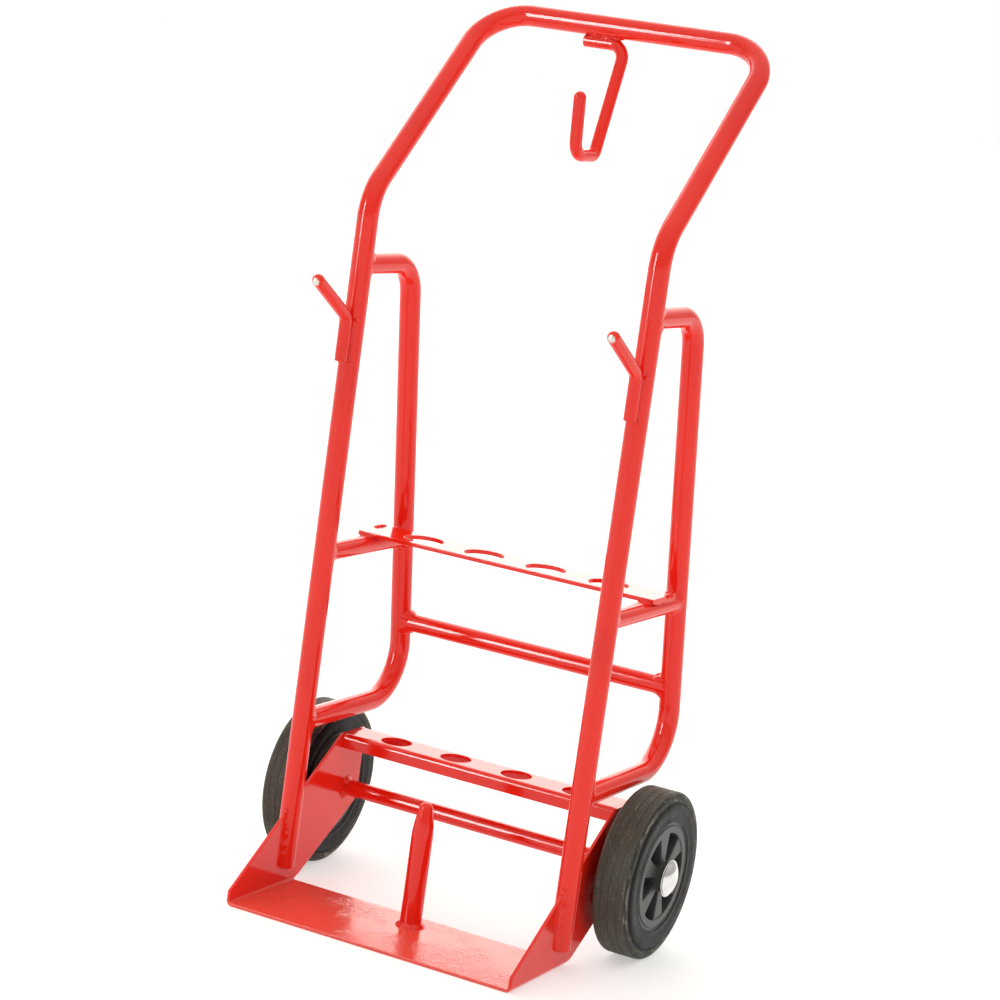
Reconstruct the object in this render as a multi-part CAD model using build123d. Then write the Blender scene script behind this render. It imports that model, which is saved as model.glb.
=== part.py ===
from build123d import *
import math
import os

os.makedirs("parts", exist_ok=True)

# Hand truck for a demolition hammer: a bent steel tube frame on two 200 mm wheels.
# X runs across the truck, -Y is the toe plate side, +Z is up, and the floor is Z = 0.
# The origin is the centre of the toe plate's underside. All sizes are in millimetres.

# ---- driving dimensions ------------------------------------------------------

# frame tube: two upright legs, a knee in each, and a handle loop over the top
tube_od = 25.4
tube_wall = 2.0
leg_spacing = 373.0          # between leg centre lines
leg_foot_height = 24.0       # cut end of each leg above the floor
handle_height = 1070.0       # top of the handle bar above the floor
handle_rise = 224.0          # from the knee up to the handle bar, centre lines
handle_rake = 46.0           # degrees from upright, above the knee
knee_radius = 65.0
handle_corner_radius = 58.0

# toe plate and its two cheeks, folded from one sheet
plate = 4.0
fold_radius = 7.0            # outside of the fold
toe_depth = 140.0
toe_rear_overhang = 22.0     # toe plate edge behind the leg centre lines
cheek_front_height = 18.0
cheek_kink_drop = 18.0       # rear kink of the cheek below the axle
cheek_corner_radius = 5.0

# rear braces: a D of tube behind each leg
brace_od = 25.4
brace_wall = 2.0
brace_low_height = 205.0
brace_low_reach = 245.0      # from the leg centre line
brace_top_drop = 82.0        # upper run below the knee
brace_top_reach = 116.0
brace_low_radius = 60.0
brace_top_radius = 45.0

# cross members
strut_od = 22.2
strut_wall = 2.0
strut_height = 409.0
crossbar_height = 301.0
weld_seat = 0.5              # depth of the flat where a plate or bar sits on a tube

# racks for chisels
rack_line = 125.5            # racks and axle behind the leg centre lines
hole_count = 4
hole_pitch = 83.0
upper_rack_depth = 64.0
upper_rack_plate = 5.0
upper_hole = 48.0
lower_rack_top = 172.0
lower_rack_depth = 54.0
lower_rack_lip = 17.0
lower_rack_fold = 6.0        # outside of the fold
lower_hole = 38.0

# peg on the toe plate
peg_od = 25.4
peg_wall = 2.5
peg_height = 153.0           # tip above the floor
peg_taper = 36.0             # length of the closed tip
peg_tip_radius = 8.5
peg_setback = 34.0           # behind the centre of the toe plate

# hooks of round bar
hook_bar = 15.0
side_hook_drop = 195.0       # foot of the hook below the knee
side_hook_arm = 52.0         # stretch welded along the leg
side_hook_reach = 72.5
side_hook_rise = 43.5
side_hook_radius = 16.0
top_hook_foot = 53.5         # stretch welded under the handle bar
top_hook_offset = -2.5       # plane of the hook beside the centre of the truck
top_hook_depth = 131.0       # below the foot, centre lines
top_hook_back_lean = 44.0    # forward run of the rear arm over that depth
top_hook_gap = 51.0          # between the arms at the bottom
top_hook_front_arm = 66.5
top_hook_front_lean = 7.0
top_hook_radius = 19.0
top_hook_elbow = 10.0        # tight bend under the rear arm

# axle and wheels
axle_d = 20.0
axle_slack = 0.05            # radial running clearance in the bushes
wheel_d = 200.0
wheel_offset = 3.0           # tyre and rim centre, outboard of the hub's middle
tyre_width = 47.0
rim_d = 130.0
rim_recess_d = 104.0
rim_width = 44.0
hub_d = 35.0
hub_length = 60.0
web = 6.0
spoke_count = 6
spoke_width_out = 24.0
spoke_width_in = 9.0
spoke_depth = 42.0
spoke_first_angle = 7.0      # degrees from straight up, towards the toe plate
moulding_overlap = 2.0       # how far web and spokes run into the barrel and the hub
hub_bore_slack = 1.0         # radial gap round the axle between the bushes
side_play = 0.5              # gap beside each end of the hub
bush_wall = 2.5
bush_length = 18.0
bush_flange = 1.5
bush_flange_d = 30.0
inner_washer = 3.0
outer_washer = 2.0
washer_d = 34.0
ring_thickness = 1.5
ring_d = 40.0
cap_wall = 1.0
cap_lip = 1.0
cap_height = 9.0
axle_end = 2.5               # axle beyond the retaining ring
tread_flat = 33.0
tread_groove_width = 1.2
tread_groove_depth = 1.0
tread_grooves = (-10.0, 0.0, 10.0)
sidewall_step = 11.5         # ledge on the sidewall, in from the tread
sidewall_ledge = 1.0
shoulder_in = 4.5            # a point of the round shoulder, out from the flat tread
shoulder_drop = 3.0          # and the same point, down from it
bead_height = 4.0            # slope from the rim's edge to the full width of the tyre

# ---- places worked out from them ----------------------------------------------

leg_x = leg_spacing / 2
leg_y = toe_depth / 2 - toe_rear_overhang
rack_y = leg_y + rack_line
handle_z = handle_height - tube_od / 2
knee_z = handle_z - handle_rise
handle_y = leg_y + handle_rise * math.tan(math.radians(handle_rake))
brace_top_z = knee_z - brace_top_drop
axle_z = wheel_d / 2
cheek_in = leg_x - plate / 2
cheek_out = leg_x + plate / 2
upper_rack_z = strut_height + strut_od / 2 - weld_seat
hub_in = cheek_out + inner_washer + side_play
hub_out = hub_in + hub_length
wheel_x = (hub_in + hub_out) / 2 + wheel_offset
outer_washer_x = hub_out + side_play
ring_x = outer_washer_x + outer_washer


def brace_y(z):
    """Centre line of a rear brace's upright, at height z."""
    share = (z - brace_low_height) / (brace_top_z - brace_low_height)
    return leg_y + brace_low_reach + share * (brace_top_reach - brace_low_reach)


# ---- helpers ---------------------------------------------------------------------

def round_bar(points, radii, diameter):
    """A solid round bar along a path of straight runs and tangent arcs."""
    path = FilletPolyline(*points, radius=radii) if len(points) > 2 else Line(*points)
    section = Plane(origin=path @ 0, z_dir=path % 0) * Circle(diameter / 2)
    return sweep(section, path=path)


def round_tube(points, radii, diameter, wall):
    """A round tube along the same kind of path, open at both ends."""
    path = FilletPolyline(*points, radius=radii) if len(points) > 2 else Line(*points)
    ring = Circle(diameter / 2) - Circle(diameter / 2 - wall)
    return sweep(Plane(origin=path @ 0, z_dir=path % 0) * ring, path=path)


def channel(width, height, thickness, outer_radius):
    """Section of a folded channel, open at the top, with its base on the X axis."""
    section = Pos(0, height / 2) * Rectangle(width, height)
    section -= Pos(0, height / 2 + thickness) * Rectangle(width - 2 * thickness, height)
    outer = [v for v in section.vertices() if abs(v.Y) < 1e-6]
    section = fillet(outer, outer_radius)
    inner = [v for v in section.vertices() if abs(v.Y - thickness) < 1e-6]
    return fillet(inner, outer_radius - thickness)


def along_x(section, x_from, x_to):
    """Prism of a section drawn in Y and Z, between two X values."""
    return Pos(x_from, 0, 0) * extrude(Plane.YZ * section, x_to - x_from)


def turned(points):
    """A body of revolution about the X axis, from (x, radius) points."""
    return revolve(make_face(Polyline(*points, close=True)), axis=Axis.X)


def ring(x_from, x_to, outer_d, bore_d):
    """A plain ring on the X axis."""
    inner, outer = bore_d / 2, outer_d / 2
    return turned([(x_from, inner), (x_to, inner), (x_to, outer), (x_from, outer)])


def save(name, shape):
    export_step(shape, f"parts/{name}.step")


def save_pair(name, right):
    """Write the right-hand piece and its mirror image on the left."""
    save(f"{name}_right", right)
    save(f"{name}_left", mirror(right, about=Plane.YZ))


on_axle = Pos(0, rack_y, axle_z)

# ---- toe plate with its cheeks ------------------------------------------------------

toe_front = -toe_depth / 2
toe_rear = toe_depth / 2
lower_rack_front = rack_y - lower_rack_depth / 2
lower_rack_rear = rack_y + lower_rack_depth / 2


def cheek_outline():
    """Side view of a cheek: a strip that slants up and back from the toe plate."""
    outline = make_face(Polyline(
        (toe_front, 0),
        (toe_front, cheek_front_height),
        (lower_rack_front, lower_rack_top),
        (lower_rack_rear, lower_rack_top),
        (lower_rack_rear, axle_z - cheek_kink_drop),
        (toe_rear, 0),
        close=True,
    ))
    corner = outline.vertices().sort_by_distance((toe_rear, 0))[0]
    return fillet(corner, cheek_corner_radius)


def toe_plate():
    section = channel(2 * cheek_out, lower_rack_top, plate, fold_radius)
    trough = Pos(0, lower_rack_rear, 0) * extrude(Plane.XZ * section, lower_rack_rear - toe_front)
    folded = trough & along_x(cheek_outline(), -cheek_out, cheek_out)
    bore = on_axle * ring(-cheek_out, cheek_out, axle_d, 0)
    return folded - bore


# ---- main tube -----------------------------------------------------------------------

main_points = [
    (-leg_x, leg_y, leg_foot_height),
    (-leg_x, leg_y, knee_z),
    (-leg_x, handle_y, handle_z),
    (leg_x, handle_y, handle_z),
    (leg_x, leg_y, knee_z),
    (leg_x, leg_y, leg_foot_height),
]
main_radii = [knee_radius, handle_corner_radius, handle_corner_radius, knee_radius]


def main_tube():
    """The bent frame tube, its feet slotted to stand over the cheeks."""
    tube = round_tube(main_points, main_radii, tube_od, tube_wall)
    for side in (-1, 1):
        slot = along_x(cheek_outline(), side * leg_x - plate / 2, side * leg_x + plate / 2)
        tube -= slot
    return tube


def leg_bar(x):
    """A leg as a solid bar, to cope what meets it."""
    return round_bar([(x, leg_y, 0), (x, leg_y, knee_z)], None, tube_od)


# ---- rear braces, struts and cross bar ------------------------------------------------

brace_points = [
    (leg_x, leg_y, brace_low_height),
    (leg_x, leg_y + brace_low_reach, brace_low_height),
    (leg_x, leg_y + brace_top_reach, brace_top_z),
    (leg_x, leg_y, brace_top_z),
]
brace_radii = [brace_low_radius, brace_top_radius]


def rear_brace():
    return round_tube(brace_points, brace_radii, brace_od, brace_wall) - leg_bar(leg_x)


def brace_bar():
    """The right brace as a solid bar, to cope what meets it."""
    return round_bar(brace_points, brace_radii, brace_od)


def side_strut():
    ends = [(leg_x, leg_y, strut_height), (leg_x, brace_y(strut_height), strut_height)]
    tube = round_tube(ends, None, strut_od, strut_wall)
    return tube - leg_bar(leg_x) - brace_bar() - upper_rack()


def rear_crossbar():
    y = brace_y(crossbar_height)
    ends = [(-leg_x, y, crossbar_height), (leg_x, y, crossbar_height)]
    tube = round_tube(ends, None, strut_od, strut_wall)
    return tube - brace_bar() - mirror(brace_bar(), about=Plane.YZ)


# ---- racks --------------------------------------------------------------------------

def hole_row(diameter, z_from, z_to):
    """Four round cutters in a row across the truck."""
    cutter = extrude(Circle(diameter / 2), z_to - z_from)
    first = -hole_pitch * (hole_count - 1) / 2
    return [Pos(first + i * hole_pitch, rack_y, z_from) * cutter for i in range(hole_count)]


def upper_rack():
    z_top = upper_rack_z + upper_rack_plate
    length = leg_spacing + strut_od
    strip = Pos(0, rack_y, (upper_rack_z + z_top) / 2) * Box(length, upper_rack_depth, upper_rack_plate)
    for cutter in hole_row(upper_hole, upper_rack_z, z_top):
        strip -= cutter
    return strip - brace_bar() - mirror(brace_bar(), about=Plane.YZ)


def lower_rack():
    section = Rot(0, 0, 180) * channel(lower_rack_depth, lower_rack_lip, plate, lower_rack_fold)
    rack = along_x(Pos(rack_y, lower_rack_top) * section, -cheek_in, cheek_in)
    for cutter in hole_row(lower_hole, lower_rack_top - plate, lower_rack_top):
        rack -= cutter
    return rack


# ---- peg and hooks --------------------------------------------------------------------

def peg():
    """A tube that stands on the toe plate, its tip swaged to a closed blunt point."""
    radius = peg_od / 2
    bore = radius - peg_wall
    taper_z = peg_height - peg_taper
    tip_z = peg_height - peg_tip_radius
    outside = Polyline((bore, plate), (radius, plate), (radius, taper_z), (peg_tip_radius, tip_z))
    tip = RadiusArc((peg_tip_radius, tip_z), (0, peg_height), -peg_tip_radius)
    inside = Polyline(
        (0, peg_height),
        (0, tip_z - peg_wall),
        (peg_tip_radius - peg_wall, tip_z - peg_wall),
        (bore, taper_z),
        (bore, plate),
    )
    profile = make_face(outside + tip + inside)
    return Pos(0, peg_setback, 0) * revolve(Plane.XZ * profile, axis=Axis.Z)


def bar_tip(end, diameter):
    """The rounded end of a bar."""
    return Pos(*end) * Sphere(diameter / 2)


def side_hook():
    y = leg_y - tube_od / 2 - hook_bar / 2 + weld_seat
    foot_z = knee_z - side_hook_drop
    bend_z = foot_z + side_hook_arm
    tip = (leg_x, y - side_hook_reach, bend_z + side_hook_rise)
    points = [(leg_x, y, foot_z), (leg_x, y, bend_z), tip]
    bar = round_bar(points, [side_hook_radius], hook_bar) - leg_bar(leg_x)
    return bar + bar_tip(tip, hook_bar)


def top_hook():
    x = top_hook_offset
    foot_z = handle_z - tube_od / 2 - hook_bar / 2 + weld_seat
    low_z = foot_z - top_hook_depth
    back_y = handle_y - top_hook_back_lean
    front_y = back_y - top_hook_gap
    tip = (x, front_y - top_hook_front_lean, low_z + top_hook_front_arm)
    points = [
        (x - top_hook_foot, handle_y, foot_z),
        (x, handle_y, foot_z),
        (x, back_y, low_z),
        (x, front_y, low_z),
        tip,
    ]
    radii = [top_hook_radius, top_hook_elbow, top_hook_radius]
    handle_bar = round_bar([(-leg_x, handle_y, handle_z), (leg_x, handle_y, handle_z)], None, tube_od)
    bar = round_bar(points, radii, hook_bar) - handle_bar
    return bar + bar_tip(tip, hook_bar)


# ---- axle and what holds the wheels on ----------------------------------------------------

def axle():
    half = ring_x + ring_thickness + axle_end
    return on_axle * ring(-half, half, axle_d, 0)


def domed(base, skirt, top, radius, rim_points=()):
    """A solid domed button on the X axis: straight sides up to the skirt, then a spherical crown."""
    rise = top - skirt
    sphere = (radius ** 2 + rise ** 2) / (2 * rise)
    half_way = top - sphere + math.sqrt(sphere ** 2 - (radius / 2) ** 2)
    sides = Polyline((top, 0), (base, 0), *(rim_points or [(base, radius)]), (skirt, radius))
    crown = ThreePointArc((skirt, radius), (half_way, radius / 2), (top, 0))
    return revolve(make_face(sides + crown), axis=Axis.X)


def hub_cap():
    """A domed cap that clips over the retaining ring."""
    outer = ring_d / 2 + cap_wall
    skirt = ring_x + ring_thickness + cap_wall
    top = ring_x + cap_height
    lip_x = ring_x + cap_wall
    lip = [(ring_x, outer + cap_lip), (lip_x, outer + cap_lip), (lip_x, outer)]
    shell = domed(ring_x, skirt, top, outer, lip)
    return on_axle * (shell - domed(ring_x, skirt, top - cap_wall, ring_d / 2))


# ---- wheel ----------------------------------------------------------------------------------

bush_od = axle_d + 2 * bush_wall
bush_bore = axle_d + 2 * axle_slack


def rim():
    """Moulded rim: barrel, web, tapered spokes and hub in one piece."""
    barrel = ring(wheel_x - rim_width / 2, wheel_x + rim_width / 2, rim_d, rim_recess_d)
    r_in = hub_d / 2 - moulding_overlap
    r_out = rim_recess_d / 2 + moulding_overlap
    disc = ring(wheel_x - web / 2, wheel_x + web / 2, 2 * r_out, 2 * r_in)
    hub = ring(hub_in, hub_out, hub_d, 0)
    outline = make_face(Polyline(
        (-spoke_width_in / 2, r_in),
        (-spoke_width_out / 2, r_out),
        (spoke_width_out / 2, r_out),
        (spoke_width_in / 2, r_in),
        close=True,
    ))
    spoke = along_x(outline, wheel_x - spoke_depth / 2, wheel_x + spoke_depth / 2)
    wheel = barrel + disc + hub
    for i in range(spoke_count):
        wheel += Rot(spoke_first_angle + i * 360 / spoke_count, 0, 0) * spoke
    wheel -= ring(hub_in, hub_out, axle_d + 2 * hub_bore_slack, 0)
    for x in (hub_in, hub_out - bush_length):
        wheel -= ring(x, x + bush_length, bush_od, 0)
    for x in (hub_in, hub_out - bush_flange):
        wheel -= ring(x, x + bush_flange, bush_flange_d, 0)
    return on_axle * wheel


def tyre():
    """Solid rubber tyre: flat grooved tread, round shoulders and a stepped sidewall."""
    half = tyre_width / 2
    tread = wheel_d / 2
    step = tread - sidewall_step
    seat = rim_d / 2
    flat = tread_flat / 2
    bead = rim_width / 2

    def side(s):
        points = [(bead, seat), (half, seat + bead_height), (half, step),
                  (half - sidewall_ledge, step + sidewall_ledge)]
        wall = Polyline(*[(s * x, r) for x, r in points])
        shoulder = ThreePointArc(
            wall @ 1, (s * (flat + shoulder_in), tread - shoulder_drop), (s * flat, tread))
        return wall + shoulder

    bottom = Line((-bead, seat), (bead, seat))
    top = Line((-flat, tread), (flat, tread))
    body = revolve(make_face(bottom + side(1) + top + side(-1)), axis=Axis.X)
    for x in tread_grooves:
        body -= ring(x - tread_groove_width / 2, x + tread_groove_width / 2,
                     wheel_d, wheel_d - 2 * tread_groove_depth)
    return on_axle * (Pos(wheel_x, 0, 0) * body)


def bush(x_face, inward):
    """Flanged bush: its flange lies flush in the end of the hub."""
    x_flange = x_face + inward * bush_flange
    x_end = x_face + inward * bush_length
    sleeve = ring(min(x_face, x_end), max(x_face, x_end), bush_od, bush_bore)
    flange = ring(min(x_face, x_flange), max(x_face, x_flange), bush_flange_d, bush_bore)
    return on_axle * (sleeve + flange)


# ---- write the pieces --------------------------------------------------------------------------

save("toe_plate", toe_plate())
save("main_tube", main_tube())
save_pair("rear_brace", rear_brace())
save_pair("side_strut", side_strut())
save("rear_crossbar", rear_crossbar())
save("upper_rack", upper_rack())
save("lower_rack", lower_rack())
save("peg", peg())
save_pair("side_hook", side_hook())
save("top_hook", top_hook())
save("axle", axle())
save_pair("inner_washer", on_axle * ring(cheek_out, cheek_out + inner_washer, washer_d, axle_d))
save_pair("outer_washer", on_axle * ring(outer_washer_x, ring_x, washer_d, axle_d))
save_pair("retaining_ring", on_axle * ring(ring_x, ring_x + ring_thickness, ring_d, axle_d))
save_pair("hub_cap", hub_cap())
save_pair("rim", rim())
save_pair("tyre", tyre())
save_pair("inner_bush", bush(hub_in, 1))
save_pair("outer_bush", bush(hub_out, -1))
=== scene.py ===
"""Hand truck for a demolition hammer: the visible pieces, their finishes and the studio.

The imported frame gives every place. Each operator builds one piece or one group of like
pieces in metres, in the frame's own axes: X across the truck, -Y to the toe plate, +Z up.
"""

import math

import bmesh
import bpy
from bpy.props import FloatProperty, FloatVectorProperty, IntProperty, PointerProperty
from bpy.types import Operator, Panel, PropertyGroup
from mathutils import Matrix, Quaternion, Vector, noise


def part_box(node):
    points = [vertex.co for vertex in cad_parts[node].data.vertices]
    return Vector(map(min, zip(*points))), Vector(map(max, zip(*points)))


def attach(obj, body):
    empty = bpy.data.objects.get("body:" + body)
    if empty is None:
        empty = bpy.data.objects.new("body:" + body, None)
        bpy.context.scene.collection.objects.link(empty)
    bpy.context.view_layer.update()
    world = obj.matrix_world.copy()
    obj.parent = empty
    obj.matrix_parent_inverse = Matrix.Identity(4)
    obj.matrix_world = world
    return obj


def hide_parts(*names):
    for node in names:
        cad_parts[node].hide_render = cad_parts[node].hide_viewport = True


bl_info = {
    "name": "Hand Truck",
    "version": (1, 0, 0),
    "blender": (4, 5, 0),
    "location": "3D View > Sidebar > Hand Truck",
    "description": "Builds a tubular steel hand truck with racks, hooks and two wheels",
    "category": "Add Mesh",
}

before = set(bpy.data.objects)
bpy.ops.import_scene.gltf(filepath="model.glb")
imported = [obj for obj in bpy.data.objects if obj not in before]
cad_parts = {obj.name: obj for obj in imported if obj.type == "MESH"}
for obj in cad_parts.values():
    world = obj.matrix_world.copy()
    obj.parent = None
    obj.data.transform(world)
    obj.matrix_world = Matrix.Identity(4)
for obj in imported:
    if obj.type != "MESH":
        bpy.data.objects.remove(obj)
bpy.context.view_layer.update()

MM = 0.001
X, Y, Z = Vector((1, 0, 0)), Vector((0, 1, 0)), Vector((0, 0, 1))
SIDES = {"right": 1, "left": -1}
SHARP_ANGLE = math.radians(42)
ARC_STEP = math.radians(3)
MERGE = 1e-6
RIPPLE = 2.6 * MM    # length of one ripple along a weld
BACKDROP_WAY = Vector((-0.66, 0.74, 0.12))
BACKDROP_FADE = 0.45, 0.97    # cosine of the angle from its middle: where it starts and is full
CEILING_FADE = 0.1, 1.0       # height of a direction: where the ceiling starts and is full
SENSOR_WIDTH = 36.0           # in mm, as the lens
VIEW_DEPTH = 50.0             # in metres
FLOOR_GRAIN = 0.985           # darkest tone of the floor's faint grain
RACK_HOLES = 4
LONG_CELLS, SHORT_CELLS = 22, 14    # faces along and across the cell round a rack's hole


# ---- sizes and colours a user would change

def length(name, description, millimetres):
    return FloatProperty(name=name, description=description, default=millimetres * MM,
                         unit="LENGTH", precision=4)


def angle(name, description, degrees):
    return FloatProperty(name=name, description=description, default=math.radians(degrees),
                         subtype="ANGLE")


def number(name, description, default):
    return FloatProperty(name=name, description=description, default=default)


def whole(name, description, default, least):
    return IntProperty(name=name, description=description, default=default, min=least)


def point(name, description, default):
    return FloatVectorProperty(name=name, description=description, default=default,
                               subtype="TRANSLATION", unit="LENGTH")


def colour(name, description, default):
    return FloatVectorProperty(name=name, description=description, default=default,
                               subtype="COLOR", size=3, min=0, max=1)


class TubeSizes(PropertyGroup):
    radius: length("Tube radius", "Outside radius of the frame tube and the braces", 12.7)
    cross_radius: length("Cross tube radius",
                         "Outside radius of the struts and the cross bar", 11.1)
    wall: length("Wall", "Wall of every tube", 2.0)
    handle_rise: length("Handle rise", "From the knee up to the handle bar", 224.0)
    knee_radius: length("Knee radius", "Bend in each leg", 65.0)
    corner_radius: length("Corner radius", "Bend at each end of the handle bar", 58.0)
    brace_low_radius: length("Low brace radius", "Bend at the foot of a brace", 60.0)
    brace_top_radius: length("Top brace radius", "Bend at the head of a brace", 45.0)
    brace_top_reach: length("Top brace reach", "Upper bend of a brace behind the leg", 116.0)
    around: whole("Sides", "Faces round a tube", 56, 12)


class PlateSizes(PropertyGroup):
    thickness: length("Plate", "Thickness of the folded sheet", 4.0)
    toe_fold: length("Toe fold", "Outside radius of the fold beside the toe plate", 7.0)
    toe_rear: length("Toe rear edge", "Rear edge of the toe plate from its centre", 70.0)
    cheek_front: length("Cheek front", "Height of a cheek at the front edge", 18.0)
    cheek_kink: length("Cheek kink", "Height of the rear corner of a cheek", 82.0)
    hole_pitch: length("Hole pitch", "Between the holes of a rack", 83.0)
    upper_hole: length("Upper hole", "Diameter of the holes in the upper rack", 48.0)
    lower_hole: length("Lower hole", "Diameter of the holes in the lower rack", 38.0)
    lower_fold: length("Rack fold", "Outside radius of the folds of the lower rack", 6.0)
    edge: length("Edge", "Rounding of every sheet edge", 0.7)


class BarSizes(PropertyGroup):
    hook_radius: length("Hook bar radius", "Radius of the hooks' round bar", 7.5)
    side_arm: length("Side hook arm", "Stretch welded along the leg", 52.0)
    side_bend: length("Side hook bend", "Bend of a side hook", 16.0)
    top_back_lean: length("Rear arm lean", "Forward run of the top hook's rear arm", 44.0)
    top_gap: length("Top hook gap", "Between the arms of the top hook", 51.0)
    top_front_arm: length("Front arm", "Rise of the top hook's front arm", 66.5)
    top_bend: length("Top hook bend", "Bends of the top hook", 19.0)
    top_elbow: length("Top hook elbow", "Tight bend under the rear arm", 10.0)
    seat: length("Seat", "Depth of the flat where a bar sits on a tube", 0.5)
    peg_taper: length("Peg taper", "Length of the peg's closed tip", 36.0)
    peg_tip: length("Peg tip radius", "Radius of the peg's blunt end", 8.5)


class WheelSizes(PropertyGroup):
    rim_recess: length("Rim recess", "Radius inside the rim's ring", 52.0)
    rim_width: length("Rim width", "Width of the rim's ring", 44.0)
    web: length("Web", "Thickness of the wheel's disc", 6.0)
    hub_radius: length("Hub radius", "Radius of the moulded hub", 17.5)
    hub_bore: length("Hub bore", "Radius of the bore that holds the bushes", 12.5)
    flange: length("Bush flange", "Radius of the recess for a bush flange", 15.0)
    spoke_out: length("Spoke outer width", "Width of a spoke at the rim", 24.0)
    spoke_in: length("Spoke inner width", "Width of a spoke at the hub", 9.0)
    spoke_depth: length("Spoke depth", "Depth of a spoke along the axle", 42.0)
    spoke_count: whole("Spokes", "Spokes in a wheel", 6, 3)
    spoke_start: angle("First spoke", "Angle of the first spoke from straight up", 7)
    tread_flat: length("Tread", "Width of the flat tread", 33.0)
    around: whole("Sides", "Faces round a wheel", 180, 24)


class Finishes(PropertyGroup):
    paint: colour("Paint", "Red powder coat", (0.83, 0.018, 0.006))
    paint_deep: colour("Deep paint", "Powder coat where it lies thick", (0.74, 0.013, 0.004))
    floor_sheen: colour("Film", "Dry film of dust on the toe plate", (0.95, 0.52, 0.40))
    # Paler, pinker tint laid over the flat floor of the toe plate: a painted reflection of the
    # bright backdrop.
    pit: colour("Pits", "Dirt in the pits of the powder coat", (0.30, 0.06, 0.035))
    bare_steel: colour("Bare steel", "Steel worn free of paint", (0.66, 0.64, 0.60))
    rubber: colour("Rubber", "Tyre rubber", (0.006, 0.007, 0.007))
    dust: colour("Dust", "Dry dust on the tyres", (0.20, 0.19, 0.15))
    plastic: colour("Plastic", "Rim moulding", (0.054, 0.056, 0.053))
    nylon: colour("Nylon", "Bushes", (0.70, 0.68, 0.62))
    chrome: colour("Chrome", "Hub caps", (0.80, 0.80, 0.79))
    zinc: colour("Zinc", "Washers and spring rings", (0.60, 0.60, 0.58))


class StageLook(PropertyGroup):
    azimuth: angle("Azimuth", "Camera direction round the truck", 26.666)
    elevation: angle("Elevation", "Camera direction above the floor", 9.681)
    roll: angle("Roll", "Camera turned about its own axis", 7.952)
    distance: length("Distance", "Camera to its target", 3242.3)
    target: point("Target", "Point the camera looks at", (0.0324, 0.0480, 0.5166))
    lens: number("Lens", "Focal length in millimetres", 102.95)
    surround: number("Surround", "Brightness of the white surround", 0.56)
    backdrop: number("Backdrop", "Extra brightness of the lit backdrop", 2.3)
    ceiling: number("Ceiling", "Extra brightness overhead", 0.64)
    warmth: colour("Light", "Tint of the studio light", (1.0, 0.965, 0.91))
    floor: colour("Floor", "Plain pale floor", (0.60, 0.60, 0.60))
    floor_half: length("Floor reach", "From the centre to the floor's edges", 40000)
    floor_glow: number("Floor glow", "Light the floor gives of its own", 0.45)
    window_at: point("Window", "Middle of the window light", (-1.95, -3.45, 1.35))
    window_aim: point("Window aim", "Point the window light faces", (0, 0.1, 0.6))
    window_width: length("Window width", "Width of the window light", 600)
    window_height: length("Window height", "Height of the window light", 1900)
    window_power: number("Window power", "Power of the window light in watts", 82)


class HandTruck(PropertyGroup):
    tubes: PointerProperty(type=TubeSizes, name="Tubes", description="Bent tube frame")
    plates: PointerProperty(type=PlateSizes, name="Plates", description="Toe plate and racks")
    bars: PointerProperty(type=BarSizes, name="Bars", description="Hooks and peg")
    wheels: PointerProperty(type=WheelSizes, name="Wheels", description="Rims and tyres")
    finishes: PointerProperty(type=Finishes, name="Finishes", description="Colours")
    stage: PointerProperty(type=StageLook, name="Stage", description="Camera, floor and light")


def settings():
    return bpy.context.scene.hand_truck


# ---- places read from the frame

def centre(node):
    low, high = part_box(node)
    return (low + high) / 2


def half_size(node):
    low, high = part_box(node)
    return (high - low) / 2


class Places:
    """Centre lines that several pieces share, worked out from the frame's boxes."""

    def __init__(self):
        tubes, bars = settings().tubes, settings().bars
        r = tubes.radius
        low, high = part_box("main_tube")
        self.leg_x = high.x - r
        self.leg_y = low.y + r
        self.foot_z = low.z
        self.handle_y = high.y - r
        self.handle_z = high.z - r
        self.knee_z = self.handle_z - tubes.handle_rise
        low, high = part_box("rear_brace_right")
        self.brace_low_y = high.y - r
        self.brace_low_z = low.z + r
        self.brace_top_y = self.leg_y + tubes.brace_top_reach
        self.brace_top_z = high.z - r
        self.strut_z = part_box("side_strut_right")[0].z + tubes.cross_radius
        self.crossbar = centre("rear_crossbar")
        self.axle = centre("axle")
        self.hook_y = self.leg_y - r - bars.hook_radius + bars.seat
        self.hook_foot_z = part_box("side_hook_right")[0].z
        self.top_foot_z = self.handle_z - r - bars.hook_radius + bars.seat

    def leg_at(self, side, z):
        """Point on the centre line of a leg."""
        return Vector((side * self.leg_x, self.leg_y, z))

    def brace_slope(self):
        """Direction of a brace's upright, going up."""
        return Vector((0, self.brace_top_y - self.brace_low_y,
                       self.brace_top_z - self.brace_low_z)).normalized()

    def brace_at(self, side, z):
        """Point on the centre line of a brace's upright."""
        share = (z - self.brace_low_z) / (self.brace_top_z - self.brace_low_z)
        y = self.brace_low_y + share * (self.brace_top_y - self.brace_low_y)
        return Vector((side * self.leg_x, y, z))


# ---- shader maths

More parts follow.
